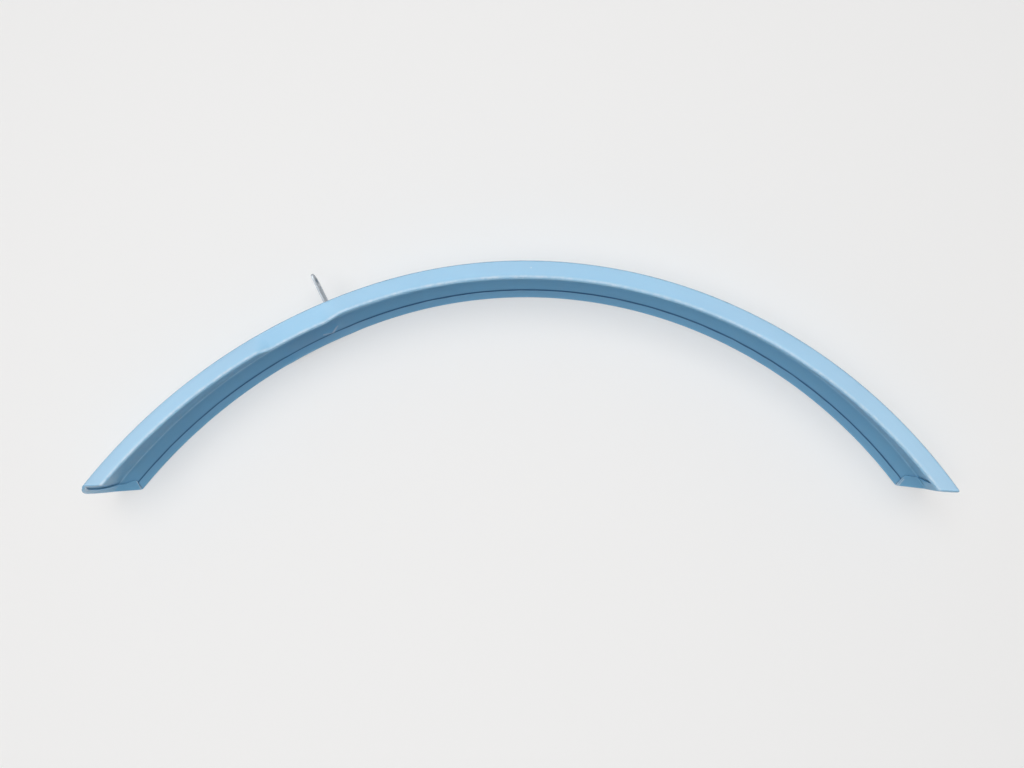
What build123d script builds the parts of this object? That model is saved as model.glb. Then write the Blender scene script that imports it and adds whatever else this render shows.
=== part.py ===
from build123d import *
from build123d.topology import SkipClean
from math import acos, atan2, cos, degrees, hypot, radians, sin, tan
import os

# Front mudguard of a bicycle: a hemmed steel blade with a riveted bracket for the fork crown.
# Modelled about the wheel axis (Z), crown upwards (+Y), front end towards -X, then laid on its side.
# Angles along the blade are measured from straight up, minus towards the front end.

# Curve of the blade, at the bends between crown and side walls
shoulder_radius = 345.0
front_radius = 409.0
junction_angle = -18.0

# Section
crown_width = 44.0
crown_rise = 2.0
rim_width = 60.0
wall_depth = 14.5
sheet = 0.8
bend_inside = 1.0

# Hems folded inwards, and the open mitres where side hem and end hem meet
hem_gap = 0.4
side_hem = 5.6
mitre_angle = 25.0
mitre_rise = 10.5
mitre_gap = 1.6
hem_lap = 0.3

# Ends: height of the crown's end above the wheel axis, and how far the end stays back from there
# at rims and bends; then the same for the raw edge of its hem, run out to the rims past the mitres
front_end_height = 181.3
front_end_upper_rim = 6.4
front_end_upper_bend = 5.5
front_end_lower_bend = 0.7
front_end_lower_rim = 2.2
front_hem_upper_rim = 20.0
front_hem_upper_bend = 7.5
front_hem_crown = 2.9
front_hem_lower_bend = 6.2
front_hem_lower_rim = 18.0
rear_end_height = 185.2
rear_end_upper_rim = 1.3
rear_end_upper_bend = 0.5
rear_end_lower_bend = 1.6
rear_end_lower_rim = 4.0
rear_hem_upper_rim = 17.0
rear_hem_upper_bend = 1.7
rear_hem_crown = 3.8
rear_hem_lower_bend = 10.3
rear_hem_lower_rim = 25.0
end_overrun = 14.0
end_stretch = 60.0

# Crimp that lets the fork blades pass
crimp_swing = 13.0
crimp_behind_tab = 16.0
crimp_length = 71.0
crimp_rear_ramp = 20.0
crimp_front_ramp = 12.0
crimp_steps = 4

# Bracket: a foot riveted to the crown and a tab bolted to the fork crown
tab_angle = -23.1
tab_lean = 4.0
tab_height = 27.5
tab_width = 14.0
tab_corner = 6.5
foot_length = 26.0
foot_corner = 3.0
bracket_sheet = 1.5
bracket_bend_inside = 1.5
bracket_seat = 0.05
bolt_hole = 6.5
bolt_hole_from_tip = 7.0

# Rivets
rivet_shank = 4.0
rivet_head = 7.0
rivet_crown = 4.2
rivet_head_height = 1.8
rivet_tail = 6.4
rivet_tail_height = 1.2
rivet_clearance = 0.1
rivet_seat = 0.05
rivet_pitch = 11.0
rivet_from_foot_end = 6.0

os.makedirs("parts", exist_ok=True)

# Worked out from the sizes above
fold_radius = sheet + hem_gap / 2
hem_stack = 2 * fold_radius
fold_ease = fold_radius * tan(radians(22.5))
bend_radius = hem_stack + bend_inside
hem_keep = fold_radius + 2 * hem_lap
hem_clear = side_hem + sheet
half_crown = crown_width / 2
half_rim = rim_width / 2
wall_length = hypot(wall_depth, half_rim - half_crown)
wall_splay = atan2(half_rim - half_crown, wall_depth)
wheel_centre = Vector(0, 0, 0)
front_shift = front_radius - shoulder_radius
front_centre = Vector(-sin(radians(junction_angle)), -cos(radians(junction_angle)), 0) * front_shift
wheel_axis = Axis(wheel_centre, (0, 0, 1))
front_axis = Axis(front_centre, (0, 0, 1))


def outward(angle):
    return Vector(sin(radians(angle)), cos(radians(angle)), 0)


def rearward(angle):
    return Vector(cos(radians(angle)), -sin(radians(angle)), 0)


def station(angle, centre, radius):
    # Section plane across the blade: x outwards from the bends, y along the wheel axis, z to the rear
    return Plane(origin=centre + outward(angle) * radius, x_dir=outward(angle), z_dir=rearward(angle))


def main_station(angle):
    return station(angle, wheel_centre, shoulder_radius)


def front_station(angle):
    return station(angle, front_centre, front_radius)


def front_turn(length):
    # Angle that a length along the front stretch takes up
    return degrees(length / front_radius)


def reach(height, centre, radius):
    # Angle at which a circle about the centre comes down to a height
    return degrees(acos((height - centre.Y) / radius))


def sheet_section(plane, swing=0.0):
    # The bent sheet with its two side hems; swing turns the side walls in at the crimp
    splay = wall_splay - radians(swing)
    down = Vector(-cos(splay), sin(splay))
    inside = Vector(-sin(splay), -cos(splay))
    bend = Vector(0, half_crown)
    fold_start = bend + down * (wall_length - fold_radius)
    fold_end = fold_start + inside * hem_stack
    fold_bottom = fold_start + (down + inside) * fold_radius
    hem_edge = fold_end - down * (side_hem - fold_radius)
    with BuildSketch(plane) as section:
        with BuildLine() as outline:
            Line(bend, fold_start + down * fold_ease)
            Line(fold_start + down * fold_ease, fold_bottom - inside * fold_ease)
            Line(fold_bottom - inside * fold_ease, fold_bottom + inside * fold_ease)
            Line(fold_bottom + inside * fold_ease, fold_end + down * fold_ease)
            Line(fold_end + down * fold_ease, hem_edge)
            mirror(about=Plane.XZ)
            SagittaArc((0, half_crown), (0, -half_crown), crown_rise)
            fillet(outline.vertices().sort_by(Axis.X)[-2:], bend_radius)
            offset(amount=sheet, side=Side.LEFT)
        make_face()
        # The folds are pressed shut at the bottom of the gap
        gap_start = fold_start + inside * sheet
        gap_end = fold_end - inside * sheet
        press = down * fold_radius / 2
        with BuildLine(mode=Mode.PRIVATE) as pressed:
            Polyline(gap_start, gap_start + press, gap_end + press, gap_end, close=True)
        add(make_face(pressed.edges(), mode=Mode.PRIVATE))
        mirror(make_face(pressed.edges(), mode=Mode.PRIVATE), about=Plane.XZ)
    return section.sketch


def layer_section(plane, depth, thickness):
    # A layer inside the sheet, from rim to rim, parallel to its outside
    fold_start = Vector(-cos(wall_splay), sin(wall_splay)) * (wall_length - fold_radius - hem_lap)
    with BuildSketch(plane) as section:
        with BuildLine() as outline:
            Line((0, half_crown), Vector(0, half_crown) + fold_start)
            mirror(about=Plane.XZ)
            SagittaArc((0, half_crown), (0, -half_crown), crown_rise)
            fillet(outline.vertices().sort_by(Axis.X)[-2:], bend_radius)
            offset(amount=depth, side=Side.LEFT, closed=False)
            offset(amount=thickness, side=Side.RIGHT)
        make_face()
    return section.sketch


def end_plane(height):
    # Faces the end: x up from the end's height, y along the wheel axis
    return Plane(origin=(0, height, 0), x_dir=(0, 1, 0), z_dir=(1, 0, 0))


def end_edge(upper_rim, upper_bend, crown, lower_bend, lower_rim):
    # A line across the blade as seen along the bicycle, from the upper rim to the lower one
    with BuildLine(mode=Mode.PRIVATE) as edge:
        Line((upper_rim, half_rim), (upper_bend, half_crown))
        ThreePointArc((upper_bend, half_crown), (crown, 0), (lower_bend, -half_crown))
        Line((lower_bend, -half_crown), (lower_rim, -half_rim))
    return edge.line


def band_sketch(height, low_edge, high_edge):
    # Between two such lines
    with BuildSketch(end_plane(height)) as band:
        with BuildLine():
            add(low_edge)
            add(high_edge)
            Line(low_edge @ 0, high_edge @ 0)
            Line(low_edge @ 1, high_edge @ 1)
        make_face()
    return band.sketch


def wall_plane(angle, centre, radius, side):
    # In the gap of a side hem: x up the wall from the rim, y along the blade, z inwards
    down = outward(angle) * -cos(wall_splay) + Vector(0, 0, side * sin(wall_splay))
    inside = outward(angle) * -sin(wall_splay) - Vector(0, 0, side * cos(wall_splay))
    bend = centre + outward(angle) * radius + Vector(0, 0, side * half_crown)
    return Plane(origin=bend + down * wall_length + inside * fold_radius, x_dir=-down, z_dir=inside)


def mitre_sketch(plane, low, high, shift, run, towards):
    # From the mitre line, moved by shift, as far as run along the blade
    with BuildSketch(plane) as mitre:
        with BuildLine():
            near_low = (low, (shift + low * tan(radians(mitre_angle))) * towards)
            near_high = (high, (shift + high * tan(radians(mitre_angle))) * towards)
            Polyline(near_low, near_high, (high, run * towards), (low, run * towards), near_low)
        make_face()
    return mitre.sketch


# Reach of the plain stretches and of the crimp between them
crimp_start = tab_angle + front_turn(crimp_behind_tab)
crimp_end = crimp_start - front_turn(crimp_length)
full_start = crimp_start - front_turn(crimp_rear_ramp)
full_end = crimp_end + front_turn(crimp_front_ramp)
rear_reach = reach(rear_end_height - end_overrun, wheel_centre, shoulder_radius)
front_reach = reach(front_end_height - end_overrun, front_centre, front_radius)
rear_span = degrees(end_stretch / shoulder_radius)
front_span = front_turn(end_stretch)


def ramp_sections(straight_angle, swung_angle):
    sections = []
    for step in range(crimp_steps + 1):
        share = step / crimp_steps
        angle = straight_angle + (swung_angle - straight_angle) * share
        sections.append(sheet_section(front_station(angle), crimp_swing * share * share * (3 - 2 * share)))
    return sections


def front_wall(side):
    height = front_end_height + (front_end_upper_rim if side > 0 else front_end_lower_rim)
    angle = -reach(height, front_centre, front_radius - wall_depth)
    return wall_plane(angle, front_centre, front_radius, side)


def rear_wall(side):
    height = rear_end_height + (rear_end_upper_rim if side > 0 else rear_end_lower_rim)
    angle = reach(height, wheel_centre, shoulder_radius - wall_depth)
    return wall_plane(angle, wheel_centre, shoulder_radius, side)


# Edges of both ends, of their hems and of the strips that close the hems' folds
front_edge = end_edge(
    front_end_upper_rim, front_end_upper_bend, 0, front_end_lower_bend, front_end_lower_rim
)
front_raw = end_edge(
    front_hem_upper_rim, front_hem_upper_bend, front_hem_crown, front_hem_lower_bend, front_hem_lower_rim
)
rear_edge = end_edge(
    rear_end_upper_rim, rear_end_upper_bend, 0, rear_end_lower_bend, rear_end_lower_rim
)
rear_raw = end_edge(
    rear_hem_upper_rim, rear_hem_upper_bend, rear_hem_crown, rear_hem_lower_bend, rear_hem_lower_rim
)
fold_width = Location((sheet, 0))
beyond_end = Location((-3 * end_overrun, 0))

with BuildPart() as rear_ramp:
    loft(ramp_sections(crimp_start, full_start), ruled=True)

with BuildPart() as front_ramp:
    loft(ramp_sections(crimp_end, full_end), ruled=True)

# End hems: a layer inside the sheet, trimmed along its raw edge and its mitres
with BuildPart() as front_hem:
    revolve(layer_section(front_station(-front_reach), hem_stack - sheet, sheet), front_axis, -front_span)
    hem = band_sketch(front_end_height, front_edge, front_raw)
    extrude(hem, amount=-front_radius, mode=Mode.INTERSECT)
    for side in (-1, 1):
        beyond = mitre_sketch(front_wall(side), -fold_radius, mitre_rise, 0, end_overrun * 3, side)
        extrude(beyond, amount=2 * hem_stack, both=True, mode=Mode.SUBTRACT)

with BuildPart() as front_web:
    revolve(layer_section(front_station(-front_reach), sheet, hem_gap), front_axis, -front_span)
    web = band_sketch(front_end_height, front_edge, fold_width * front_edge)
    extrude(web, amount=-front_radius, mode=Mode.INTERSECT)

with BuildPart() as rear_hem:
    revolve(layer_section(main_station(rear_reach), hem_stack - sheet, sheet), wheel_axis, rear_span)
    hem = band_sketch(rear_end_height, rear_edge, rear_raw)
    extrude(hem, amount=front_radius, mode=Mode.INTERSECT)
    for side in (-1, 1):
        beyond = mitre_sketch(rear_wall(side), -fold_radius, mitre_rise, 0, end_overrun * 3, -side)
        extrude(beyond, amount=2 * hem_stack, both=True, mode=Mode.SUBTRACT)

with BuildPart() as rear_web:
    revolve(layer_section(main_station(rear_reach), sheet, hem_gap), wheel_axis, rear_span)
    web = band_sketch(rear_end_height, rear_edge, fold_width * rear_edge)
    extrude(web, amount=front_radius, mode=Mode.INTERSECT)

# Rivet places, one behind the other on the middle of the crown
foot_radius = front_radius + crown_rise + bracket_seat
foot_end_angle = tab_angle + degrees(foot_length / foot_radius)
rear_rivet_angle = foot_end_angle - degrees(rivet_from_foot_end / foot_radius)
rivet_angles = (rear_rivet_angle, rear_rivet_angle - degrees(rivet_pitch / foot_radius))


def rivet_plane(angle):
    # On the top of the bracket's foot, z outwards
    top = front_centre + outward(angle) * (foot_radius + bracket_sheet)
    return Plane(origin=top, x_dir=rearward(angle), z_dir=outward(angle))


with BuildPart() as blade:
    with SkipClean():
        main_section = sheet_section(main_station(junction_angle))
        revolve(main_section, wheel_axis, junction_angle - rear_reach + rear_span)
        rear_section = sheet_section(main_station(rear_reach - rear_span))
        revolve(rear_section, wheel_axis, -rear_span)
        revolve(main_section, front_axis, junction_angle - crimp_start)
        add(rear_ramp.part)
        full_section = sheet_section(front_station(full_start), crimp_swing)
        revolve(full_section, front_axis, full_start - full_end)
        add(front_ramp.part)
        front_section = sheet_section(front_station(crimp_end))
        revolve(front_section, front_axis, crimp_end + front_reach - front_span)
        end_section = sheet_section(front_station(front_span - front_reach))
        revolve(end_section, front_axis, front_span)
        # Side hems end short of the mitres
        for side in (-1, 1):
            short = mitre_sketch(front_wall(side), hem_keep, hem_clear, mitre_gap, -end_overrun / 2, side)
            extrude(short, amount=hem_stack, mode=Mode.SUBTRACT)
            short = mitre_sketch(rear_wall(side), hem_keep, hem_clear, mitre_gap, -end_overrun / 2, -side)
            extrude(short, amount=hem_stack, mode=Mode.SUBTRACT)
        waste = band_sketch(front_end_height, beyond_end * front_edge, front_edge)
        extrude(waste, amount=-front_radius, mode=Mode.SUBTRACT)
        waste = band_sketch(rear_end_height, beyond_end * rear_edge, rear_edge)
        extrude(waste, amount=front_radius, mode=Mode.SUBTRACT)
        for fold in (front_hem, front_web, rear_hem, rear_web):
            add(fold.part)
        for angle in rivet_angles:
            with BuildSketch(rivet_plane(angle)):
                Circle(rivet_shank / 2 + rivet_clearance)
            extrude(amount=-3 * bracket_sheet, mode=Mode.SUBTRACT)

# Bracket in side view, drawn along the underside of the foot and the front of the tab
tab_root = front_centre + outward(tab_angle) * foot_radius
tab_tip = tab_root + outward(tab_angle - tab_lean) * tab_height
tab_front = -rearward(tab_angle - tab_lean)
with BuildPart() as bracket:
    with BuildSketch(Plane.XY):
        with BuildLine() as side_view:
            foot_end = front_centre + outward(foot_end_angle) * foot_radius
            foot_middle = front_centre + outward((foot_end_angle + tab_angle) / 2) * foot_radius
            ThreePointArc(foot_end, foot_middle, tab_root)
            Line(tab_root, tab_tip)
            fillet(side_view.vertices().sort_by_distance(tab_root)[0], bracket_bend_inside + bracket_sheet)
            offset(amount=bracket_sheet, side=Side.RIGHT)
        make_face()
    extrude(amount=tab_width / 2, both=True)
    tab_edges = bracket.edges().filter_by(Axis((0, 0, 0), tab_front))
    fillet(tab_edges.sort_by_distance(tab_tip)[:2], tab_corner)
    foot_edges = bracket.edges().filter_by(Axis((0, 0, 0), outward(foot_end_angle)))
    fillet(foot_edges.sort_by_distance(foot_end)[:2], foot_corner)
    hole_centre = tab_tip - outward(tab_angle - tab_lean) * bolt_hole_from_tip
    with BuildSketch(Plane(origin=hole_centre, z_dir=tab_front)):
        Circle(bolt_hole / 2)
    extrude(amount=2 * bracket_sheet, both=True, mode=Mode.SUBTRACT)
    for angle in rivet_angles:
        with BuildSketch(rivet_plane(angle)):
            Circle(rivet_shank / 2 + rivet_clearance)
        extrude(amount=-3 * bracket_sheet, mode=Mode.SUBTRACT)

# Rivets: coned head on the foot, tail flattened under the crown
grip = bracket_sheet + bracket_seat + sheet + rivet_seat
tail_end = -grip - rivet_tail_height
with BuildPart() as rivets:
    for angle in rivet_angles:
        top = rivet_plane(angle).origin
        with BuildSketch(Plane(origin=top, x_dir=rearward(angle), z_dir=(0, 0, 1))):
            with BuildLine():
                Polyline((0, rivet_head_height), (rivet_crown / 2, rivet_head_height), (rivet_head / 2, 0))
                Polyline((rivet_head / 2, 0), (rivet_shank / 2, 0), (rivet_shank / 2, -grip))
                Polyline((rivet_shank / 2, -grip), (rivet_tail / 2, -grip), (rivet_tail / 2, tail_end))
                Polyline((rivet_tail / 2, tail_end), (0, tail_end), (0, rivet_head_height))
            make_face()
        revolve(axis=Axis(top, outward(angle)))

# Laid on its side, on the lower rim, with the middle of the floor plan at the origin
whole = Compound([blade.part, bracket.part, rivets.part]).bounding_box()
lay = Location((-whole.center().X, -whole.center().Y, -whole.min.Z))
blade.part.label = "mudguard_blade"
bracket.part.label = "fork_bracket"
rivets.part.label = "bracket_rivets"
export_step(blade.part.move(lay), "parts/mudguard_blade.step")
export_step(bracket.part.move(lay), "parts/fork_bracket.step")
export_step(rivets.part.move(lay), "parts/bracket_rivets.step")
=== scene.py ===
import math
import bpy
import bmesh
from mathutils import Matrix, Vector, noise
from mathutils.geometry import intersect_point_line


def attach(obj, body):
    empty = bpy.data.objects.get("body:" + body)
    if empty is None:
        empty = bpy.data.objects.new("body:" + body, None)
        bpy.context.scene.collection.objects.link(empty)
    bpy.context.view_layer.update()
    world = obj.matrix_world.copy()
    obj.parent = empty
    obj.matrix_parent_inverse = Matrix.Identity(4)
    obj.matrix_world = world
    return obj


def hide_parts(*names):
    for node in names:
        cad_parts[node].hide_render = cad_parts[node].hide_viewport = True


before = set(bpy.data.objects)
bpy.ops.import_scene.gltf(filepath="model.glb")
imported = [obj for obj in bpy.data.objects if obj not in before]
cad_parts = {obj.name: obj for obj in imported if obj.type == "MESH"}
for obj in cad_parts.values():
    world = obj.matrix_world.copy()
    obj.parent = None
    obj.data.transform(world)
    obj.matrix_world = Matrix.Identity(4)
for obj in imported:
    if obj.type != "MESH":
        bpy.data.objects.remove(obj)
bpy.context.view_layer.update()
print("frame loaded:", sorted(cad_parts))

mm = 0.001
uvPerMm = 0.01  # the blade's UV map runs along it and across it


# Blade: the profile is swept round the two arcs, then every row of points is set to the real section
blade = {
    "wheelAxis": (9.4989, -263.929, 29.717),  # mm, row frame
    "shoulderRadius": 345.0,
    "frontRadius": 409.0,
    "junction": -18.0,  # degrees from straight up, minus to the front
    "halfCrown": 22.0,
    "crownRise": 2.0,
    "halfRim": 30.0,
    "wallDepth": 14.5,
    "sheet": 0.8,
    "bendRadius": 3.0,
    "foldRadius": 1.0,
    "sideHem": 5.6,
    "lipTurn": 8.0,  # degrees the wall leans in beside its fold
    "lipRun": 3.5,
    "lipSplay": 1.0,  # degrees more splay, so that the lip leaves the rim in place
    "hemSteps": 4,
    "foldSteps": 8,
    "lipSteps": 4,
    "wallSteps": 10,
    "bendSteps": 5,
    "crownSteps": 7,
    "ringPitch": 1.6,
    "endStretch": 60.0,
    "mitreGap": 1.4,
    "flapSteps": 3,
    "cornerRound": 0.72,  # share of the two folds that the corner patch stands out
    "rimSetBack": 0.4,  # of the fold radius, where the rolled rim ends
    "leastFlap": 0.02,  # degrees
    "crownSpring": 0.15,
    "wallPress": -0.25,
    "springFrom": 0.45,  # share of the wall's height where the turned-in end starts to lift
    "springOver": 0.5,
    "crimpSwing": 13.0,
    "crimpStart": -20.859,
    "crimpFull": (-23.660, -29.124),
    "crimpEnd": -30.805,
    "waviness": 0.10,
    "waveScale": 0.22,  # noise steps for each degree of arc
    "waveLanes": (14.0, 20.0),  # upper and lower wall
    "hemWander": 0.35,
    "wanderScale": 0.45,
    "wanderLanes": (3.0, 9.0),
    "wanderEnds": 5.0,  # sets the noise of the two arcs apart
    "rawEase": 0.12,
    "rawEaseSegments": 2,
    "rawEaseFrom": 60.0,  # degrees between faces
    "mergeWithin": 0.0005,
    "rowMatch": 0.02,  # degrees
}
frontEnd = {
    "height": 181.3,
    "edge": (6.4, 5.5, 0.0, 0.7, 2.2),  # rises at upper rim, upper bend, crown, lower bend, lower rim
    "raw": (20.0, 7.2, 2.7, 6.4, 17.0),
    "mitre": 27.0,
    "spring": 0.25,  # how far the turned-in end stands off the wall beside the crown
}
rearEnd = {
    "height": 185.2,
    "edge": (1.3, 0.5, 0.0, 1.6, 4.0),
    "raw": (17.0, 1.9, 3.8, 10.3, 14.5),
    "mitre": 19.0,
    "spring": -0.25,
}

buckle = {  # ridge that the crimp left in the lower wall, points from the wheel axis in mm
    "path": ((-150.9, 301.1, -24.0), (-144.0, 302.6, -24.0), (-140.3, 308.0, -24.0)),
    "height": 0.55,
    "width": 1.9,
}

wheelAxis = Vector(blade["wheelAxis"])
junctionTurn = math.radians(blade["junction"])
centreShift = blade["frontRadius"] - blade["shoulderRadius"]
frontAxis = wheelAxis - Vector((math.sin(junctionTurn), math.cos(junctionTurn), 0.0)) * centreShift
wallRun = math.hypot(blade["wallDepth"], blade["halfRim"] - blade["halfCrown"])
wallSplay = math.atan2(blade["halfRim"] - blade["halfCrown"], blade["wallDepth"])
crownArc = (blade["halfCrown"] ** 2 + blade["crownRise"] ** 2) / (2 * blade["crownRise"])


def halfSection(swing):
    # side hem's raw edge to middle of crown: point, way into the sheet, name, height up the wall
    splay = wallSplay + math.radians(blade["lipSplay"] - swing)
    down = Vector((-math.cos(splay), math.sin(splay)))
    inside = Vector((-math.sin(splay), -math.cos(splay)))
    corner = Vector((0.0, blade["halfCrown"]))
    fold = blade["foldRadius"]
    lipTurn = math.radians(blade["lipTurn"])
    lipRadius = blade["lipRun"] / lipTurn
    lipStart = corner + down * (wallRun - fold - blade["lipRun"])
    lipDown = down * math.cos(lipTurn) + inside * math.sin(lipTurn)
    lipInside = inside * math.cos(lipTurn) - down * math.sin(lipTurn)
    lipMiddle = lipStart + inside * lipRadius
    foldStart = lipMiddle - lipInside * lipRadius
    foldLast = foldStart + lipInside * 2 * fold
    foldMiddle = foldStart + lipInside * fold
    arcMiddle = Vector((blade["crownRise"] - crownArc, 0.0))
    away = corner + inside * blade["bendRadius"] - arcMiddle
    along = away.dot(down)
    gap = away.length_squared - (crownArc - blade["bendRadius"]) ** 2
    root = math.sqrt(along * along - gap)
    shift = min(-along - root, -along + root, key=abs)
    bendMiddle = corner + inside * blade["bendRadius"] + down * shift
    bendStart = corner + down * shift
    crownWay = (bendMiddle - arcMiddle).normalized()
    rows = []
    for k in range(blade["hemSteps"]):
        back = (blade["sideHem"] - fold) * (1 - k / blade["hemSteps"])
        rows.append((foldLast - lipDown * back, -lipInside, "hem", fold + back))
    for k in range(blade["foldSteps"]):
        turn = math.pi * (1 - k / blade["foldSteps"])
        way = lipInside * -math.cos(turn) + lipDown * math.sin(turn)
        rows.append((foldMiddle + way * fold, -way, "fold", turn / math.pi))
    for k in range(blade["lipSteps"]):
        turn = lipTurn * (1 - k / blade["lipSteps"])
        way = inside * math.cos(turn) - down * math.sin(turn)
        up = fold + blade["lipRun"] * k / blade["lipSteps"]
        rows.append((lipMiddle - way * lipRadius, way, "wall", up))
    for k in range(blade["wallSteps"]):
        point = lipStart.lerp(bendStart, k / blade["wallSteps"])
        rows.append((point, inside, "wall", fold + blade["lipRun"] + (point - lipStart).length))
    bendFrom = math.atan2(-inside.y, -inside.x)
    bendTurn = math.atan2(crownWay.y, crownWay.x) - bendFrom
    for k in range(blade["bendSteps"]):
        turn = bendFrom + bendTurn * k / blade["bendSteps"]
        way = Vector((math.cos(turn), math.sin(turn)))
        rows.append((bendMiddle + way * blade["bendRadius"], -way, "bend", wallRun))
    crownFrom = math.atan2(crownWay.y, crownWay.x)
    for k in range(blade["crownSteps"] + 1):
        turn = crownFrom * (1 - k / blade["crownSteps"])
        way = Vector((math.cos(turn), math.sin(turn)))
        rows.append((arcMiddle + way * crownArc, -way, "crown", wallRun))
    return rows


def fullSection(swing):
    upper = halfSection(swing)
    flip = Vector((1.0, -1.0))
    lower = [(point * flip, way * flip, name, up) for point, way, name, up in reversed(upper[:-1])]
    return upper + lower


flatSection = fullSection(0.0)
middleColumn = len(flatSection) // 2
hemAnchor = (blade["hemSteps"], len(flatSection) - 1 - blade["hemSteps"])
acrossRun = [0.0]
for first, second in zip(flatSection, flatSection[1:]):
    acrossRun.append(acrossRun[-1] + (second[0] - first[0]).length)
fullRun = acrossRun[-1]


def easeStep(value):
    value = min(max(value, 0.0), 1.0)
    return value * value * (3 - 2 * value)


def crimpSwing(angle):
    fullStart, fullEnd = blade["crimpFull"]
    if angle > fullStart:
        share = (angle - blade["crimpStart"]) / (fullStart - blade["crimpStart"])
    else:
        share = (angle - blade["crimpEnd"]) / (fullEnd - blade["crimpEnd"])
    return blade["crimpSwing"] * easeStep(share)


sectionStore = {}


def sectionAt(angle):
    swing = round(crimpSwing(angle), 2)
    if swing not in sectionStore:
        sectionStore[swing] = fullSection(swing)
    return sectionStore[swing]


def edgeRise(marks, across):
    upperRim, upperBend, crown, lowerBend, lowerRim = marks
    half = blade["halfCrown"]
    wide = blade["halfRim"] - half
    if across > half:
        return upperBend + (upperRim - upperBend) * (across - half) / wide
    if across < -half:
        return lowerBend + (lowerRim - lowerBend) * (-across - half) / wide
    if across > 0:  # the upper side curves late, the lower one evenly
        return crown + (upperBend - crown) * (across / half) ** 4
    return crown + (lowerBend - crown) * (across / half) ** 2


bucklePath = [Vector(spot) + wheelAxis for spot in buckle["path"]]


def buckleHeight(spot):
    gaps = []
    for first, second in zip(bucklePath, bucklePath[1:]):
        share = intersect_point_line(spot, first, second)[1]
        foot = first.lerp(second, min(max(share, 0.0), 1.0))
        gaps.append((spot - foot).length)
    return buckle["height"] * math.exp(-((min(gaps) / buckle["width"]) ** 2))


def wallInside(rows, lower):
    # way into the sheet where the wall meets its fold
    step = -1 if lower else 1
    return rows[hemAnchor[lower] + step * blade["foldSteps"]][1]


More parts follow.
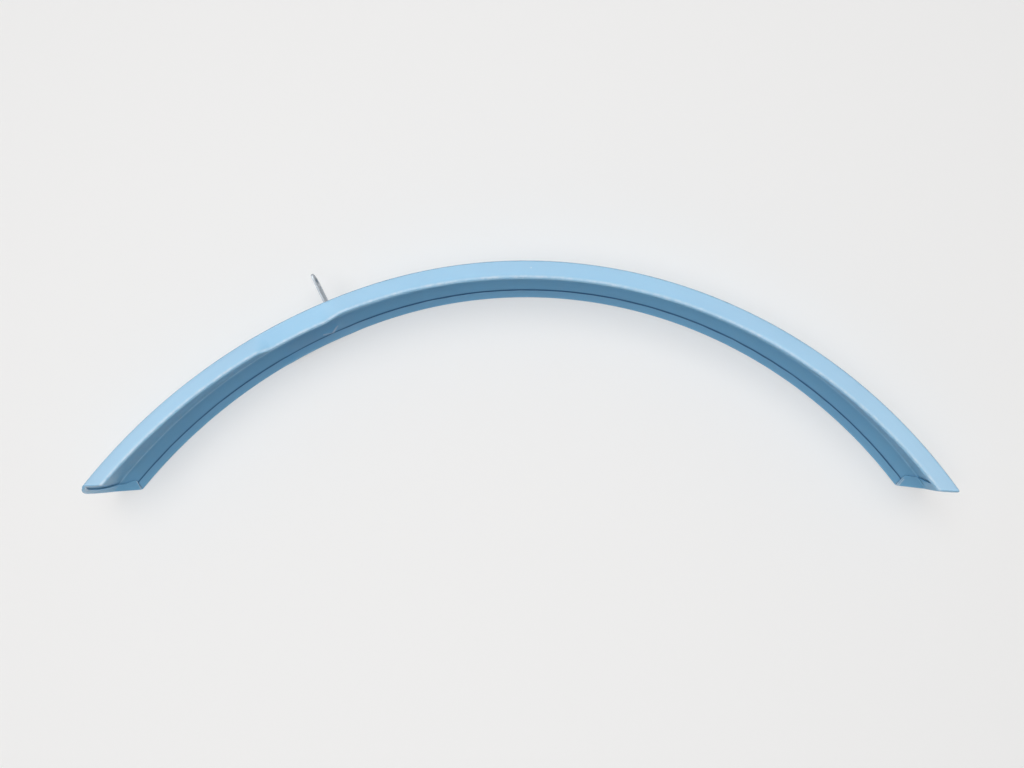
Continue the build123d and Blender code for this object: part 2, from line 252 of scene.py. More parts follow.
class Stretch:
    # one arc of the blade, from the junction to its end; side is 1 to the rear and -1 to the front
    def __init__(self, axis, radius, side, end):
        self.axis, self.radius, self.side, self.end = axis, radius, side, end
        self.lean = math.tan(math.radians(end["mitre"]))
        self.nominal = self.reach(middleColumn, end["edge"], 0.0)
        self.turnable = math.degrees(blade["endStretch"] / radius)

    def point(self, column, angle, depth=0.0):
        rows = sectionAt(angle if self.side < 0 else 0.0)
        spot, way, name, up = rows[column]
        lower = column > middleColumn
        if name == "hem":  # the raw edge wanders a little
            lane = blade["wanderLanes"][lower]
            end = self.side * blade["wanderEnds"]
            wander = noise.noise(Vector((angle * blade["wanderScale"], lane, end)))
            wide = (up - blade["foldRadius"]) / (blade["sideHem"] - blade["foldRadius"])
            hemWay = (spot - rows[hemAnchor[lower]][0]).normalized()
            spot = spot + hemWay * blade["hemWander"] * wander * wide
        if name in ("wall", "hem", "fold"):  # rolled walls are never quite true
            wave = noise.noise(Vector((angle * blade["waveScale"], blade["waveLanes"][lower], 0.0)))
            loose = 1 - min(up, wallRun) / wallRun if name == "wall" else 1.0
            spot = spot + wallInside(rows, lower) * (blade["waviness"] * wave * loose)
        spot = spot + way * depth
        turn = math.radians(angle)
        out = Vector((math.sin(turn), math.cos(turn), 0.0))
        place = self.axis + out * (self.radius + spot.x) + Vector((0.0, 0.0, spot.y))
        if lower and name in ("wall", "hem", "fold") and self.side < 0:
            inside = wallInside(rows, lower)
            place += (out * inside.x + Vector((0.0, 0.0, inside.y))) * buckleHeight(place)
        return place

    def reach(self, column, marks, depth):
        spot, way, name, up = flatSection[column]
        spot = spot + way * depth
        height = self.end["height"] + edgeRise(marks, spot.y) + wheelAxis.y - self.axis.y
        return self.side * math.degrees(math.acos(height / (self.radius + spot.x)))

    def rimReach(self, column):
        # where the rim on the column's side meets the end
        marks = self.end["edge"]
        rise = marks[0] if column < middleColumn else marks[4]
        height = self.end["height"] + rise + wheelAxis.y - self.axis.y
        return self.side * math.degrees(math.acos(height / (self.radius - blade["wallDepth"])))

    def back(self, angle, length, radius):
        return angle - self.side * math.degrees(length / radius)

    def endAngle(self, column):
        spot, way, name, up = flatSection[column]
        near = self.radius + spot.x
        fold = blade["foldRadius"]
        if name == "hem":
            return self.back(self.rimReach(column), up * self.lean + blade["mitreGap"], near)
        if name == "fold":
            setBack = up * (fold * self.lean + blade["mitreGap"]) + blade["rimSetBack"] * fold * (1 - up)
            return self.back(self.rimReach(column), setBack, near)
        return self.back(self.reach(column, self.end["edge"], fold), fold, near)

    def rawAngle(self, column):
        # how far the end hem comes back along the inside
        spot, way, name, up = flatSection[column]
        near = self.radius + spot.x
        raw = self.reach(column, self.end["raw"], 2 * blade["foldRadius"])
        start = self.endAngle(column)
        length = self.side * (start - raw)
        if name == "wall":
            mitre = self.back(self.rimReach(column), up * self.lean, near)
            length = min(length, self.side * (start - mitre))
        return start - self.side * max(length, blade["leastFlap"])

    def proud(self, column):
        # the turned-in end is sprung off the crown and pressed to the walls
        spot, way, name, up = flatSection[column]
        if name == "crown":
            return blade["crownSpring"]
        share = easeStep((up / wallRun - blade["springFrom"]) / blade["springOver"])
        return blade["wallPress"] + (self.end["spring"] - blade["wallPress"]) * share

    def angleAt(self, column, nominalAngle):
        # rows stay square to the arc until the last stretch, where they swing to the slanted end
        late = 1 - self.side * (self.nominal - nominalAngle) / self.turnable
        return nominalAngle + (self.endAngle(column) - self.nominal) * max(late, 0.0)

    def mitrePoint(self, up, shift):
        # on the turned-in end, this far from the lower rim and from its mitred edge, in metres
        walls = [c for c in range(middleColumn, len(flatSection)) if flatSection[c][2] == "wall"]
        column = min(walls, key=lambda c: abs(flatSection[c][3] - up))
        angle = self.rawAngle(column) + self.side * math.degrees(shift / self.radius)
        return self.point(column, angle, 2 * blade["foldRadius"]) * mm

    def run(self, angle):
        return math.radians(angle - blade["junction"]) * self.radius


rearStretch = Stretch(wheelAxis, blade["shoulderRadius"], 1, rearEnd)
frontStretch = Stretch(frontAxis, blade["frontRadius"], -1, frontEnd)


def edgeChain(bm, verts):
    return [bm.edges.get(pair) for pair in zip(verts, verts[1:])]


def closeCorner(bm, stretch, rimArc, endArc, columnLayer, runLayer):
    # a rounded patch where the rolled rim meets the turned-in end, both arcs start at the corner
    corner = rimArc[0]
    column = corner[columnLayer]
    made = bmesh.ops.extrude_edge_only(bm, edges=edgeChain(bm, rimArc[1:]))["geom"]
    fresh = {v[columnLayer]: v for v in made if isinstance(v, bmesh.types.BMVert)}
    between = [fresh[v[columnLayer]] for v in rimArc[1:]]
    for k, vert in enumerate(between):
        turn = math.pi * (k + 1) / blade["foldSteps"]
        middle = stretch.point(column, stretch.endAngle(column), blade["foldRadius"] * (1 - math.cos(turn)))
        vert.co = middle + (rimArc[k + 1].co + endArc[k + 1].co - 2 * middle) * blade["cornerRound"]
        vert[runLayer] = rimArc[k + 1][runLayer]
    bmesh.ops.bridge_loops(bm, edges=edgeChain(bm, between) + edgeChain(bm, endArc[1:]))
    bmesh.ops.contextual_create(bm, geom=[corner, rimArc[1], between[0]])
    bmesh.ops.contextual_create(bm, geom=[corner, between[0], endArc[1]])


def foldEnd(bm, stretch, lastRow, columnLayer, runLayer):
    # the end is turned in over itself: round the fold, then back along the inside to its raw edge
    folded = [c for c in sorted(lastRow) if flatSection[c][2] not in ("hem", "fold")]
    row = [lastRow[c] for c in folded]
    endArcs = {c: [lastRow[c]] for c in (folded[0], folded[-1])}
    fold = blade["foldRadius"]
    stages = [("fold", math.pi * (k + 1) / blade["foldSteps"]) for k in range(blade["foldSteps"])]
    stages += [("flap", (k + 1) / blade["flapSteps"]) for k in range(blade["flapSteps"])]
    for stage, share in stages:
        made = bmesh.ops.extrude_edge_only(bm, edges=edgeChain(bm, row))["geom"]
        fresh = {v[columnLayer]: v for v in made if isinstance(v, bmesh.types.BMVert)}
        row = [fresh[c] for c in folded]
        for vert in row:
            column = vert[columnLayer]
            start = stretch.endAngle(column)
            near = stretch.radius + flatSection[column][0].x
            if stage == "fold":
                angle = stretch.back(start, -fold * math.sin(share), near)
                depth = fold * (1 - math.cos(share))
            else:
                angle = start + (stretch.rawAngle(column) - start) * share
                depth = 2 * fold + stretch.proud(column) * share
            vert[runLayer] = stretch.run(angle)
            vert.co = stretch.point(column, angle, depth)
        if stage == "fold":
            for column in endArcs:
                endArcs[column].append(fresh[column])
    for column, endArc in endArcs.items():
        outward = -1 if column < middleColumn else 1
        rimArc = [lastRow[column + outward * k] for k in range(blade["foldSteps"] + 1)]
        closeCorner(bm, stretch, rimArc, endArc, columnLayer, runLayer)


def makeBlade():
    bm = bmesh.new()
    columnLayer = bm.verts.layers.int.new("column")
    runLayer = bm.verts.layers.float.new("alongRun")
    start = []
    for column in range(len(flatSection)):
        vert = bm.verts.new(frontStretch.point(column, blade["junction"]))
        vert[columnLayer] = column
        start.append(vert)
    profile = [bm.edges.new(pair) for pair in zip(start, start[1:])]
    for stretch in (rearStretch, frontStretch):
        sweep = stretch.nominal - blade["junction"]
        steps = round(math.radians(abs(sweep)) * stretch.radius / blade["ringPitch"])
        bmesh.ops.spin(
            bm, geom=start + profile, cent=stretch.axis, axis=(0.0, 0.0, 1.0),
            angle=-math.radians(sweep), steps=steps
        )
    bmesh.ops.remove_doubles(bm, verts=bm.verts[:], dist=blade["mergeWithin"])
    lastRows = {1: {}, -1: {}}
    for vert in bm.verts:
        away = vert.co - wheelAxis
        behind = math.degrees(math.atan2(away.x, away.y)) > blade["junction"]
        stretch = rearStretch if behind else frontStretch
        away = vert.co - stretch.axis
        nominalAngle = math.degrees(math.atan2(away.x, away.y))
        if abs(nominalAngle - stretch.nominal) < blade["rowMatch"]:
            lastRows[stretch.side][vert[columnLayer]] = vert
        angle = stretch.angleAt(vert[columnLayer], nominalAngle)
        vert[runLayer] = stretch.run(angle)
        vert.co = stretch.point(vert[columnLayer], angle)
    print("blade swept:", len(bm.verts), "points")
    for stretch in (rearStretch, frontStretch):
        foldEnd(bm, stretch, lastRows[stretch.side], columnLayer, runLayer)
    bmesh.ops.recalc_face_normals(bm, faces=bm.faces[:])
    top = wheelAxis + Vector((0.0, blade["shoulderRadius"], 0.0))
    crownFace = min(bm.faces, key=lambda f: (f.calc_center_median() - top).length)
    if crownFace.normal.y < 0:
        bmesh.ops.reverse_faces(bm, faces=bm.faces[:])
    runMap = bm.loops.layers.uv.new("run")
    for face in bm.faces:
        face.smooth = True
        for loop in face.loops:
            across = acrossRun[loop.vert[columnLayer]]
            loop[runMap].uv = (loop.vert[runLayer] * uvPerMm, across * uvPerMm)
    bmesh.ops.scale(bm, vec=(mm, mm, mm), verts=bm.verts[:])
    return bm


def addPiece(name, bm, slot, *nodes):
    mesh = bpy.data.meshes.new(name)
    bm.to_mesh(mesh)
    bm.free()
    piece = bpy.data.objects.new(name, mesh)
    bpy.context.scene.collection.objects.link(piece)
    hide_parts(*nodes)
    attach(piece, "root")
    return piece


bladeSheet = addPiece("bladeSheet", makeBlade(), "blade_paint", "mudguard_blade")
thick = bladeSheet.modifiers.new("sheet", "SOLIDIFY")
thick.thickness = blade["sheet"] * mm
thick.offset = -1.0
thick.use_even_offset = False
thick.use_quality_normals = True
thick.material_offset = 1
thick.material_offset_rim = 2
ease = bladeSheet.modifiers.new("rawEdges", "BEVEL")
ease.width = blade["rawEase"] * mm
ease.segments = blade["rawEaseSegments"]
ease.limit_method = "ANGLE"
ease.angle_limit = math.radians(blade["rawEaseFrom"])
ease.harden_normals = True
print("blade done:", len(bladeSheet.data.polygons), "faces before thickness")


# Rivets: domed head on the foot, dimpled tail under the crown
rivet = {
    "frontAngles": (-20.3122, -21.8455),
    "footTop": 412.55,  # from the front axis
    "head": (3.5, 1.8),  # radius, height
    "headEdge": 0.25,
    "headLip": (0.05, 0.08),  # in from the edge, up from the foot
    "domeSteps": 6,
    "shank": 2.0,
    "grip": 2.4,
    "tail": (3.2, 1.2),
    "tailEdge": 0.3,
    "tailShoulder": 0.7,
    "tailDimple": ((0.6, 0.92), (0.25, 0.8), (0.0, 0.78)),  # shares of the tail's radius and height
    "turns": 36,
    "mergeWithin": 0.002,
    "sharpFrom": 50.0,  # degrees between faces
}


def makeRivets():
    bm = bmesh.new()
    for angle in rivet["frontAngles"]:
        headRadius, headHeight = rivet["head"]
        tailRadius, tailHeight = rivet["tail"]
        headEdge, tailEdge = rivet["headEdge"], rivet["tailEdge"]
        lipIn, lipUp = rivet["headLip"]
        under = -rivet["grip"]
        side = [(0.0, headHeight)]
        for k in range(1, rivet["domeSteps"] + 1):
            turn = math.pi / 2 * k / rivet["domeSteps"]
            side.append((headRadius * math.sin(turn), headEdge + (headHeight - headEdge) * math.cos(turn)))
        side += [(headRadius - lipIn, lipUp), (headRadius - headEdge, 0.0)]
        side += [(rivet["shank"], 0.0), (rivet["shank"], under)]
        side += [(tailRadius - tailEdge, under), (tailRadius, under - tailEdge)]
        side.append((tailRadius - tailEdge / 2, under - tailHeight * rivet["tailShoulder"]))
        side += [(tailRadius * reach, under - tailHeight * drop) for reach, drop in rivet["tailDimple"]]
        turn = math.radians(angle)
        out = Vector((math.sin(turn), math.cos(turn), 0.0))
        rear = Vector((math.cos(turn), -math.sin(turn), 0.0))
        foot = frontAxis + out * rivet["footTop"]
        verts = [bm.verts.new(foot + rear * x + out * y) for x, y in side]
        edges = [bm.edges.new(pair) for pair in zip(verts, verts[1:])]
        bmesh.ops.spin(
            bm, geom=verts + edges, cent=foot, axis=out,
            angle=math.tau, steps=rivet["turns"], use_merge=True
        )
    bmesh.ops.remove_doubles(bm, verts=bm.verts[:], dist=rivet["mergeWithin"])
    bmesh.ops.recalc_face_normals(bm, faces=bm.faces[:])
    for face in bm.faces:
        face.smooth = True
    for edge in bm.edges:
        edge.smooth = edge.calc_face_angle(0.0) < math.radians(rivet["sharpFrom"])
    bmesh.ops.scale(bm, vec=(mm, mm, mm), verts=bm.verts[:])
    return bm


rivets = addPiece("bracketRivets", makeRivets(), "rivet_steel", "bracket_rivets")
print("rivets done")


# Bracket: the CAD plate with its edges tumbled
bracket = {
    "edgeEase": 0.18,
    "easeSegments": 2,
    "sharpFrom": 35.0,  # degrees between faces
    "flatWithin": 0.5,  # degrees
    "mergeWithin": 0.001,
}


def makeBracket():
    bm = bmesh.new()
    bm.from_mesh(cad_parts["fork_bracket"].data)
    bmesh.ops.remove_doubles(bm, verts=bm.verts[:], dist=bracket["mergeWithin"] * mm)
    flatWithin = math.radians(bracket["flatWithin"])
    bmesh.ops.dissolve_limit(bm, angle_limit=flatWithin, verts=bm.verts[:], edges=bm.edges[:])
    sharpFrom = math.radians(bracket["sharpFrom"])
    sharp = [e for e in bm.edges if e.calc_face_angle(0.0) > sharpFrom]
    bmesh.ops.bevel(
        bm, geom=sharp, offset=bracket["edgeEase"] * mm, segments=bracket["easeSegments"],
        affect="EDGES", profile=0.5, material=-1, clamp_overlap=True
    )
    for face in bm.faces:
        face.smooth = True
    for edge in bm.edges:
        edge.smooth = edge.calc_face_angle(0.0) < sharpFrom
    return bm


forkBracket = addPiece("forkBracket", makeBracket(), "bracket_zinc", "fork_bracket")
print("bracket done:", len(forkBracket.data.polygons), "faces")


# Node helpers
def put(tree, kind, inputs=None, **settings):
    node = tree.nodes.new(kind)
    for key, value in settings.items():
        setattr(node, key, value)
    for key, value in (inputs or {}).items():
        if isinstance(value, bpy.types.NodeSocket):
            tree.links.new(value, node.inputs[key])
        else:
            node.inputs[key].default_value = value
    return node


def maths(tree, operation, first, second=0.0, third=0.0, clamp=False):
    values = {0: first, 1: second, 2: third}
    return put(tree, "ShaderNodeMath", values, operation=operation, use_clamp=clamp).outputs[0]


def vectors(tree, operation, first, second, out="Vector"):
    return put(tree, "ShaderNodeVectorMath", {0: first, 1: second}, operation=operation).outputs[out]


def span(tree, value, low, high, start=0.0, end=1.0):
    limits = {"Value": value, "From Min": low, "From Max": high, "To Min": start, "To Max": end}
    return put(tree, "ShaderNodeMapRange", limits, interpolation_type="SMOOTHSTEP").outputs["Result"]


def blendColour(tree, share, under, over):
    node = put(tree, "ShaderNodeMix", {0: share, 6: under, 7: over}, data_type="RGBA")
    return node.outputs[2]


def noiseOf(tree, vector, scale, detail=2.0, roughness=0.5):
    settings = {"Vector": vector, "Scale": scale, "Detail": detail, "Roughness": roughness}
    return put(tree, "ShaderNodeTexNoise", settings).outputs["Fac"]


def newGroup(name, inputs, outputs):
    tree = bpy.data.node_groups.new(name, "ShaderNodeTree")
    for socketName, kind, value in inputs:
        socket = tree.interface.new_socket(name=socketName, in_out="INPUT", socket_type=kind)
        socket.default_value = value
    for socketName, kind in outputs:
        tree.interface.new_socket(name=socketName, in_out="OUTPUT", socket_type=kind)
    return tree, tree.nodes.new("NodeGroupInput").outputs, tree.nodes.new("NodeGroupOutput")


def useGroup(tree, group, inputs=None):
    return put(tree, "ShaderNodeGroup", inputs, node_tree=group).outputs


def newMaterial(name):
    material = bpy.data.materials.new(name)
    material.use_nodes = True
    tree = material.node_tree
    return material, tree, tree.nodes["Principled BSDF"]


wearLook = {  # noise scales for metres, ranges where a noise fades in
    "strokeWidth": 0.0008,
    "strokeGrain": 900.0,
    "strokeFray": (1.6, 0.2),
    "strokeEdge": 0.5,
    "peelScale": 700.0,
    "driftScale": 14.0,
    "driftRange": (0.25, 0.75),
    "cloudScale": 160.0,
    "cloudRange": (0.35, 0.8),
    "scratchStretch": (3.0, 130.0, 1.0),  # on the UV map
    "scratchRange": (0.66, 0.74),
    "patchScale": 1.7,  # on the UV map
    "patchRange": (0.5, 0.62),
    "speckScale": 330.0,
    "speckRange": (0.28, 0.12),
}
origin = (0.0, 0.0, 0.0)

# A short stroke between two points of the surface, with frayed sides: worn paint at the mitres, and the
# painted highlight on the buckle's crease
strokeGroup, given, result = newGroup(
    "wearAndHighlightStroke",
    [
        ("Start", "NodeSocketVector", origin),
        ("End", "NodeSocketVector", origin),
        ("Width", "NodeSocketFloat", wearLook["strokeWidth"]),
    ],
    [("Mask", "NodeSocketFloat")],
)
place = put(strokeGroup, "ShaderNodeTexCoord").outputs["Object"]
lineWay = vectors(strokeGroup, "SUBTRACT", given["End"], given["Start"])
fromStart = vectors(strokeGroup, "SUBTRACT", place, given["Start"])
reachDot = vectors(strokeGroup, "DOT_PRODUCT", fromStart, lineWay, "Value")
lineDot = vectors(strokeGroup, "DOT_PRODUCT", lineWay, lineWay, "Value")
share = maths(strokeGroup, "DIVIDE", reachDot, lineDot, clamp=True)
nearest = put(strokeGroup, "ShaderNodeVectorMath", {0: lineWay, "Scale": share}, operation="SCALE")
gapAway = vectors(strokeGroup, "SUBTRACT", fromStart, nearest.outputs["Vector"])
farness = put(strokeGroup, "ShaderNodeVectorMath", {0: gapAway}, operation="LENGTH").outputs["Value"]
rough = noiseOf(strokeGroup, place, wearLook["strokeGrain"], 3.0, 0.6)
fray = maths(strokeGroup, "MULTIPLY_ADD", rough, *wearLook["strokeFray"])
ragged = maths(strokeGroup, "MULTIPLY", given["Width"], fray)
strokeMask = maths(strokeGroup, "SUBTRACT", 1.0, maths(strokeGroup, "DIVIDE", farness, ragged), clamp=True)
strokeGroup.links.new(span(strokeGroup, strokeMask, 0.0, wearLook["strokeEdge"]), result.inputs["Mask"])

# Sprayed paint: fine peel in the surface, slow drift in tone
sprayGroup, given, result = newGroup(
    "sprayedPaint",
    [
        ("Peel Scale", "NodeSocketFloat", wearLook["peelScale"]),
        ("Drift Scale", "NodeSocketFloat", wearLook["driftScale"]),
    ],
    [("Height", "NodeSocketFloat"), ("Drift", "NodeSocketFloat"), ("Cloud", "NodeSocketFloat")],
)
place = put(sprayGroup, "ShaderNodeTexCoord").outputs["Object"]
peel = noiseOf(sprayGroup, place, given["Peel Scale"], 2.0, 0.5)
drift = noiseOf(sprayGroup, place, given["Drift Scale"], 3.0, 0.55)
cloud = noiseOf(sprayGroup, place, wearLook["cloudScale"], 4.0, 0.65)
sprayGroup.links.new(peel, result.inputs["Height"])
sprayGroup.links.new(span(sprayGroup, drift, *wearLook["driftRange"]), result.inputs["Drift"])
sprayGroup.links.new(span(sprayGroup, cloud, *wearLook["cloudRange"]), result.inputs["Cloud"])

# Handling marks that run along the blade, and specks of chipped paint
markGroup, given, result = newGroup(
    "runMarks",
    [("Run", "NodeSocketVector", origin), ("Speck Share", "NodeSocketFloat", 0.1)],
    [("Scratch", "NodeSocketFloat"), ("Speck", "NodeSocketFloat")],
)
drawnOut = {"Vector": given["Run"], "Scale": wearLook["scratchStretch"]}
stretched = put(markGroup, "ShaderNodeMapping", drawnOut).outputs["Vector"]
streak = span(markGroup, noiseOf(markGroup, stretched, 1.0, 3.0, 0.6), *wearLook["scratchRange"])
patchy = noiseOf(markGroup, given["Run"], wearLook["patchScale"], 2.0, 0.5)
patches = span(markGroup, patchy, *wearLook["patchRange"])
markGroup.links.new(maths(markGroup, "MULTIPLY", streak, patches), result.inputs["Scratch"])
place = put(markGroup, "ShaderNodeTexCoord").outputs["Object"]
cellSettings = {"Vector": place, "Scale": wearLook["speckScale"], "Randomness": 1.0}
cells = put(markGroup, "ShaderNodeTexVoronoi", cellSettings)
cellDraw = put(markGroup, "ShaderNodeSeparateColor", {0: cells.outputs["Color"]}).outputs[0]
chosen = maths(markGroup, "LESS_THAN", cellDraw, given["Speck Share"])
dot = span(markGroup, cells.outputs["Distance"], *wearLook["speckRange"])
markGroup.links.new(maths(markGroup, "MULTIPLY", dot, chosen), result.inputs["Speck"])


# Paint: one look, laid differently on the outside, the inside and the raw edges
paintLook = {
    "light": (0.160, 0.430, 0.660, 1.0),
    "deep": (0.146, 0.400, 0.627, 1.0),
    # pale tone of worn paint, also used for the painted highlights on the rims, the inner bend and the
    # buckle
    "wearAndHighlight": (0.58, 0.68, 0.75, 1.0),
    # gap: painted shade, the dark blue laid in the gaps beside the hems' raw edges
    "gap": (0.006, 0.070, 0.210, 1.0),
    # grey of dust, also laid on the inner crown as a painted sheen
    "dustAndSheen": (0.38, 0.45, 0.52, 1.0),
    "roughness": 0.38,
    "coatRoughness": 0.24,
    "cloudRough": 0.08,
    "wornRough": 0.25,
    "peel": 0.05,
    "peelHeight": 0.0005,
    "speckShow": 0.45,
    "scratchShow": 0.22,
    "wearAndHighlightShow": 0.85,
    "crownFade": 2.0,  # mm inside the bends
    # crease: a painted highlight along the inner bend between crown and wall
    "creaseWidth": 0.45,
    "creaseHighlight": (0.3, 0.2),
    "creaseReach": (0.0, -120.0),  # mm along the blade, full at the second
    "creaseShow": (0.25, 1.0),
    # rim: a painted highlight along the rolled rims
    "rimWidth": 2.4,
    "rimHighlight": 0.42,
    "gapBeyond": 0.3,  # mm past the hem's raw edge, where the painted shade line on the inside wall sits
}
paintFaces = {  # mm for the painted shade line at the hems' gaps, shares for the rest
    "bladePaint": {"gapShadeWidth": 0.4, "gapShadeShare": 0.8, "dustAndSheen": 0.04, "crownSheen": 0.0, "specks": 0.004},
    "bladeInside": {"gapShadeWidth": 1.0, "gapShadeShare": 0.85, "dustAndSheen": 0.05, "crownSheen": 0.14, "specks": 0.006},
    "bladeRawEdge": {"gapShadeWidth": 0.5, "gapShadeShare": 0.9, "dustAndSheen": 0.05, "crownSheen": 0.0, "specks": 0.02},
}
tickHighlight = ((0.7, 0.4), (0.9, 0.55))  # mm wide and how strong, for the two painted highlight strokes on the buckle's crease
mitreRub = {
    "fromRim": (1.0, 8.0),
    "width": 0.5,
    "strength": 0.75,
    "frontShifts": (0.2,),
    "rearShifts": (0.2, 1.5),
}

# Places across the blade where its colour changes: painted shade beside the hems' raw edges, painted
# highlights at the rims and the inner bend
hemEdges = (0.0, fullRun)
rimRun = acrossRun[hemAnchor[0] + blade["foldSteps"]]
rimRuns = (rimRun, fullRun - rimRun)
bendColumn = hemAnchor[0] + blade["foldSteps"] + blade["lipSteps"] + blade["wallSteps"]
bendRun = fullRun / 2 - acrossRun[bendColumn + blade["bendSteps"] // 2]
underHem = [rimRun + blade["sideHem"] - blade["foldRadius"] + paintLook["gapBeyond"]]
underHem.append(fullRun - underHem[0])


def ridgeLine(tree, across, places, width):
    # 1 on lines that run along the blade at these places across it
    total = None
    for spot in places:
        offset = maths(tree, "ABSOLUTE", maths(tree, "SUBTRACT", across, spot * uvPerMm))
        line = span(tree, offset, width * uvPerMm, 0.0)
        total = line if total is None else maths(tree, "MAXIMUM", total, line)
    return total


def paintMaterial(name, gapShadePlaces, strokes):
    face = paintFaces[name]
    crownSheen = face["crownSheen"]
    material, tree, shader = newMaterial(name)
    runUv = put(tree, "ShaderNodeUVMap", uv_map="run").outputs["UV"]
    parts = put(tree, "ShaderNodeSeparateXYZ", {0: runUv}).outputs
    spray = useGroup(tree, sprayGroup)
    marks = useGroup(tree, markGroup, {"Run": runUv, "Speck Share": face["specks"]})
    colour = blendColour(tree, spray["Drift"], paintLook["light"], paintLook["deep"])
    dustAndSheen = maths(tree, "MULTIPLY", spray["Cloud"], face["dustAndSheen"])
    if crownSheen:  # a painted sheen lightens and greys the crown, and a painted highlight runs along the bends
        # painted sheen over the inner crown, on top of the dust everywhere
        overCrown = maths(tree, "ABSOLUTE", maths(tree, "SUBTRACT", parts["Y"], fullRun / 2 * uvPerMm))
        crownEnd = bendRun - paintLook["crownFade"]
        crownMask = span(tree, overCrown, bendRun * uvPerMm, crownEnd * uvPerMm)
        crownTone = maths(tree, "MULTIPLY_ADD", spray["Cloud"], crownSheen, crownSheen)
        dustAndSheen = maths(tree, "MULTIPLY_ADD", crownMask, crownTone, dustAndSheen)
    colour = blendColour(tree, dustAndSheen, colour, paintLook["dustAndSheen"])
    if crownSheen:
        # painted highlight along the inner bend
        crease = ridgeLine(tree, overCrown, [bendRun], paintLook["creaseWidth"])
        creaseSpan = [reach * uvPerMm for reach in paintLook["creaseReach"]]
        creaseFade = span(tree, parts["X"], *creaseSpan, *paintLook["creaseShow"])
        crease = maths(tree, "MULTIPLY", crease, creaseFade)
        creaseHighlight = maths(tree, "MULTIPLY_ADD", spray["Cloud"], *paintLook["creaseHighlight"])
        creaseShare = maths(tree, "MULTIPLY", crease, creaseHighlight)
        colour = blendColour(tree, creaseShare, colour, paintLook["wearAndHighlight"])
    scratch = maths(tree, "MULTIPLY", marks["Scratch"], paintLook["scratchShow"])
    colour = blendColour(tree, scratch, colour, paintLook["wearAndHighlight"])
    # painted highlight along the rolled rims
    rimLine = ridgeLine(tree, parts["Y"], rimRuns, paintLook["rimWidth"])
    rimShare = maths(tree, "MULTIPLY_ADD", spray["Cloud"], paintLook["rimHighlight"], paintLook["rimHighlight"] / 2)
    colour = blendColour(tree, maths(tree, "MULTIPLY", rimLine, rimShare), colour, paintLook["wearAndHighlight"])
    # painted shade in the gaps beside the hems' raw edges
    gapShadeLine = ridgeLine(tree, parts["Y"], gapShadePlaces, face["gapShadeWidth"])
    gapShadeLine = maths(tree, "MULTIPLY", gapShadeLine, face["gapShadeShare"])
    colour = blendColour(tree, gapShadeLine, colour, paintLook["gap"])
    # chips and worn strokes, on the inside also the buckle's painted highlight
    wearAndHighlight = maths(tree, "MULTIPLY", marks["Speck"], paintLook["speckShow"])
    for start, end, width, strength in strokes:
        stroke = useGroup(tree, strokeGroup, {"Start": start, "End": end, "Width": width})["Mask"]
        wearAndHighlight = maths(tree, "MAXIMUM", wearAndHighlight, maths(tree, "MULTIPLY", stroke, strength))
    wearAndHighlightShare = maths(tree, "MULTIPLY", wearAndHighlight, paintLook["wearAndHighlightShow"])
    colour = blendColour(tree, wearAndHighlightShare, colour, paintLook["wearAndHighlight"])
    tree.links.new(colour, shader.inputs["Base Color"])
    rough = maths(tree, "MULTIPLY_ADD", spray["Cloud"], paintLook["cloudRough"], paintLook["roughness"])
    rough = maths(tree, "MULTIPLY_ADD", wearAndHighlight, paintLook["wornRough"], rough)
    tree.links.new(rough, shader.inputs["Roughness"])
    # no coat on the painted shade lines
    tree.links.new(maths(tree, "SUBTRACT", 1.0, gapShadeLine, clamp=True), shader.inputs["Coat Weight"])
    shader.inputs["Coat Roughness"].default_value = paintLook["coatRoughness"]
    peel = {"Height": spray["Height"], "Strength": paintLook["peel"], "Distance": paintLook["peelHeight"]}
    bump = put(tree, "ShaderNodeBump", peel)
    tree.links.new(bump.outputs["Normal"], shader.inputs["Normal"])
    return material


tickPath = [(spot + Vector((0.0, 0.0, buckle["height"]))) * mm for spot in bucklePath]
crimpTick = []  # painted highlight on the buckle's crease
for start, end, (width, strength) in zip(tickPath, tickPath[1:], tickHighlight):
    crimpTick.append((start, end, width * mm, strength))
mitreWear = []  # paint rubbed off along the mitres of the turned-in ends
for stretch, shifts in ((frontStretch, mitreRub["frontShifts"]), (rearStretch, mitreRub["rearShifts"])):
    for shift in shifts:
        start, end = [stretch.mitrePoint(up, shift) for up in mitreRub["fromRim"]]
        mitreWear.append((start, end, mitreRub["width"] * mm, mitreRub["strength"]))
outerPaint = paintMaterial("bladePaint", hemEdges, mitreWear)
innerPaint = paintMaterial("bladeInside", underHem, crimpTick)
edgePaint = paintMaterial("bladeRawEdge", hemEdges, [])
for material in (outerPaint, innerPaint, edgePaint):
    bladeSheet.data.materials.append(material)
print("paint done")


# Metal: zinc plate on the bracket, plain steel rivets
metalLook = {
    "zinc": (0.34, 0.37, 0.40, 1.0),
    "zincDull": (0.24, 0.265, 0.29, 1.0),
    "steel": (0.42, 0.44, 0.46, 1.0),
    "steelDull": (0.22, 0.23, 0.25, 1.0),
    "zincRoughness": 0.42,
    "steelRoughness": 0.30,
    "dullRough": 0.2,
    "spangleScale": 420.0,
    "spangleShare": 0.2,
    "cloudShare": 0.6,
    "grainScale": 1400.0,
    "grain": 0.08,
    "grainHeight": 0.0003,
}


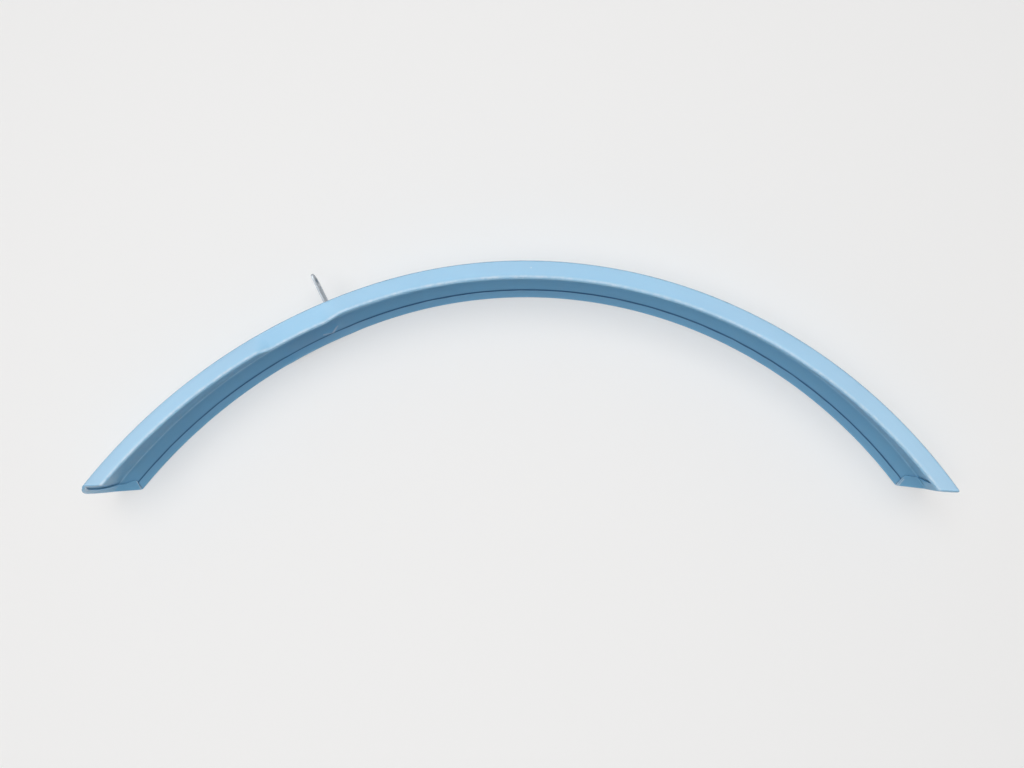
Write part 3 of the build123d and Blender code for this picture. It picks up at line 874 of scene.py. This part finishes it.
def metalMaterial(name, bright, dull, roughness):
    material, tree, shader = newMaterial(name)
    spray = useGroup(tree, sprayGroup, {"Peel Scale": metalLook["grainScale"]})
    place = put(tree, "ShaderNodeTexCoord").outputs["Object"]
    cells = put(tree, "ShaderNodeTexVoronoi", {"Vector": place, "Scale": metalLook["spangleScale"]})
    flake = put(tree, "ShaderNodeSeparateColor", {0: cells.outputs["Color"]}).outputs[0]
    cloudTone = maths(tree, "MULTIPLY", spray["Cloud"], metalLook["cloudShare"])
    tone = maths(tree, "MULTIPLY_ADD", flake, metalLook["spangleShare"], cloudTone, clamp=True)
    tree.links.new(blendColour(tree, tone, bright, dull), shader.inputs["Base Color"])
    rough = maths(tree, "MULTIPLY_ADD", tone, metalLook["dullRough"], roughness)
    tree.links.new(rough, shader.inputs["Roughness"])
    shader.inputs["Metallic"].default_value = 1.0
    grain = {"Height": spray["Height"], "Strength": metalLook["grain"], "Distance": metalLook["grainHeight"]}
    bump = put(tree, "ShaderNodeBump", grain)
    tree.links.new(bump.outputs["Normal"], shader.inputs["Normal"])
    return material


zinc = metalMaterial("bracketZinc", metalLook["zinc"], metalLook["zincDull"], metalLook["zincRoughness"])
steel = metalMaterial("rivetSteel", metalLook["steel"], metalLook["steelDull"], metalLook["steelRoughness"])
forkBracket.data.materials.append(zinc)
rivets.data.materials.append(steel)
print("metal done")


# Floor, light and camera
studio = {
    "floorSize": 8.0,
    "floorColour": (0.90, 0.89, 0.88, 1.0),
    "floorRoughness": 0.9,
    "floorSpecular": 0.1,
    "floorWhite": (0.97, 0.97, 0.97, 1.0),
    "floorGlow": (0.35, 1.0),  # share of plain white seen near the object and far from it
    "floorGlowReach": (0.5, 1.5),  # metres
    "worldStrength": 0.27,
    "skyTop": 0.15,  # how bright the world is overhead in reflections, against 1 at the horizon
    "skyFade": (0.3, 0.7),  # heights between which it darkens
    "cameraPlace": (24.72, 200.41, 547.3),  # mm from the wheel axis
    "cameraTurn": (-6.251, -3.176, 0.0),  # degrees, one turn about this axis
    "lens": 27.07,
    "sensor": 36.0,
}
softBoxes = {  # place, size, watts and rays: cards are mirrored in the gloss, boxes give the light
    "farCard": ((0.0, 1.30, 0.50), (2.6, 0.9), 17.5, "glossy"),
    "farHighCard": ((0.0, 1.00, 1.35), (2.4, 1.0), 11.0, "glossy"),
    "leftCard": ((-1.30, 0.40, 0.98), (1.8, 2.0), 26.0, "glossy"),
    "rightCard": ((1.30, 0.40, 0.98), (1.8, 2.0), 26.0, "glossy"),
    "nearBox": ((-0.45, -1.35, 0.63), (1.6, 0.7), 1.5, "diffuse"),
    "overBox": ((-0.14, 0.05, 1.7), (1.7, 1.6), 22.3, "diffuse"),
}
bm = bmesh.new()
bmesh.ops.create_grid(bm, x_segments=1, y_segments=1, size=studio["floorSize"] / 2)
floorMesh = bpy.data.meshes.new("floor")
bm.to_mesh(floorMesh)
bm.free()
floor = bpy.data.objects.new("floor", floorMesh)
bpy.context.scene.collection.objects.link(floor)
floorPaper, floorTree, floorShader = newMaterial("floorPaper")
floorShader.inputs["Base Color"].default_value = studio["floorColour"]
floorShader.inputs["Roughness"].default_value = studio["floorRoughness"]
floorShader.inputs["Specular IOR Level"].default_value = studio["floorSpecular"]
floorSeen = put(floorTree, "ShaderNodeLightPath").outputs["Is Camera Ray"]
floorPlace = put(floorTree, "ShaderNodeTexCoord").outputs["Object"]
floorAway = put(floorTree, "ShaderNodeVectorMath", {0: floorPlace}, operation="LENGTH").outputs["Value"]
floorGlow = span(floorTree, floorAway, *studio["floorGlowReach"], *studio["floorGlow"])
floorShare = maths(floorTree, "MULTIPLY", floorSeen, floorGlow)
floorWhite = put(floorTree, "ShaderNodeEmission", {"Color": studio["floorWhite"]}).outputs[0]
floorMix = put(floorTree, "ShaderNodeMixShader", {0: floorShare, 1: floorShader.outputs[0], 2: floorWhite})
floorTree.links.new(floorMix.outputs[0], floorTree.nodes["Material Output"].inputs["Surface"])
floorMesh.materials.append(floorPaper)

world = bpy.data.worlds.new("studio")
world.use_nodes = True
bpy.context.scene.world = world
worldTree = world.node_tree
sky = worldTree.nodes["Background"]
sky.inputs["Color"].default_value = (1.0, 1.0, 1.0, 1.0)
path = put(worldTree, "ShaderNodeLightPath").outputs
seen = maths(worldTree, "ADD", path["Is Camera Ray"], path["Is Glossy Ray"])
seen = maths(worldTree, "ADD", seen, path["Is Transmission Ray"], clamp=True)
skyWay = put(worldTree, "ShaderNodeTexCoord").outputs["Generated"]
skyHeight = put(worldTree, "ShaderNodeSeparateXYZ", {0: skyWay}).outputs["Z"]
skyLevel = span(worldTree, skyHeight, *studio["skyFade"], 1.0, studio["skyTop"])
level = put(worldTree, "ShaderNodeMix", {0: seen, 2: studio["worldStrength"], 3: skyLevel}).outputs[0]
worldTree.links.new(level, sky.inputs["Strength"])

for name, (place, size, watts, rays) in softBoxes.items():
    lamp = bpy.data.lights.new(name, "AREA")
    lamp.shape = "RECTANGLE"
    lamp.size, lamp.size_y = size
    lamp.energy = watts
    box = bpy.data.objects.new(name, lamp)
    box.location = place
    box.rotation_euler = (-box.location).to_track_quat("-Z", "Y").to_euler()
    box.visible_camera = False
    box.visible_diffuse = rays == "diffuse"
    box.visible_glossy = rays == "glossy"
    bpy.context.scene.collection.objects.link(box)

cameraData = bpy.data.cameras.new("camera")
cameraData.lens = studio["lens"]
cameraData.sensor_width = studio["sensor"]
camera = bpy.data.objects.new("camera", cameraData)
turnAxis = Vector(studio["cameraTurn"])
cameraWay = Matrix.Rotation(math.radians(turnAxis.length), 4, turnAxis.normalized()).transposed()
camera.matrix_world = Matrix.Translation((Vector(studio["cameraPlace"]) + wheelAxis) * mm) @ cameraWay
bpy.context.scene.collection.objects.link(camera)
bpy.context.scene.camera = camera
bpy.context.scene.view_settings.view_transform = "Standard"
print("stage set")
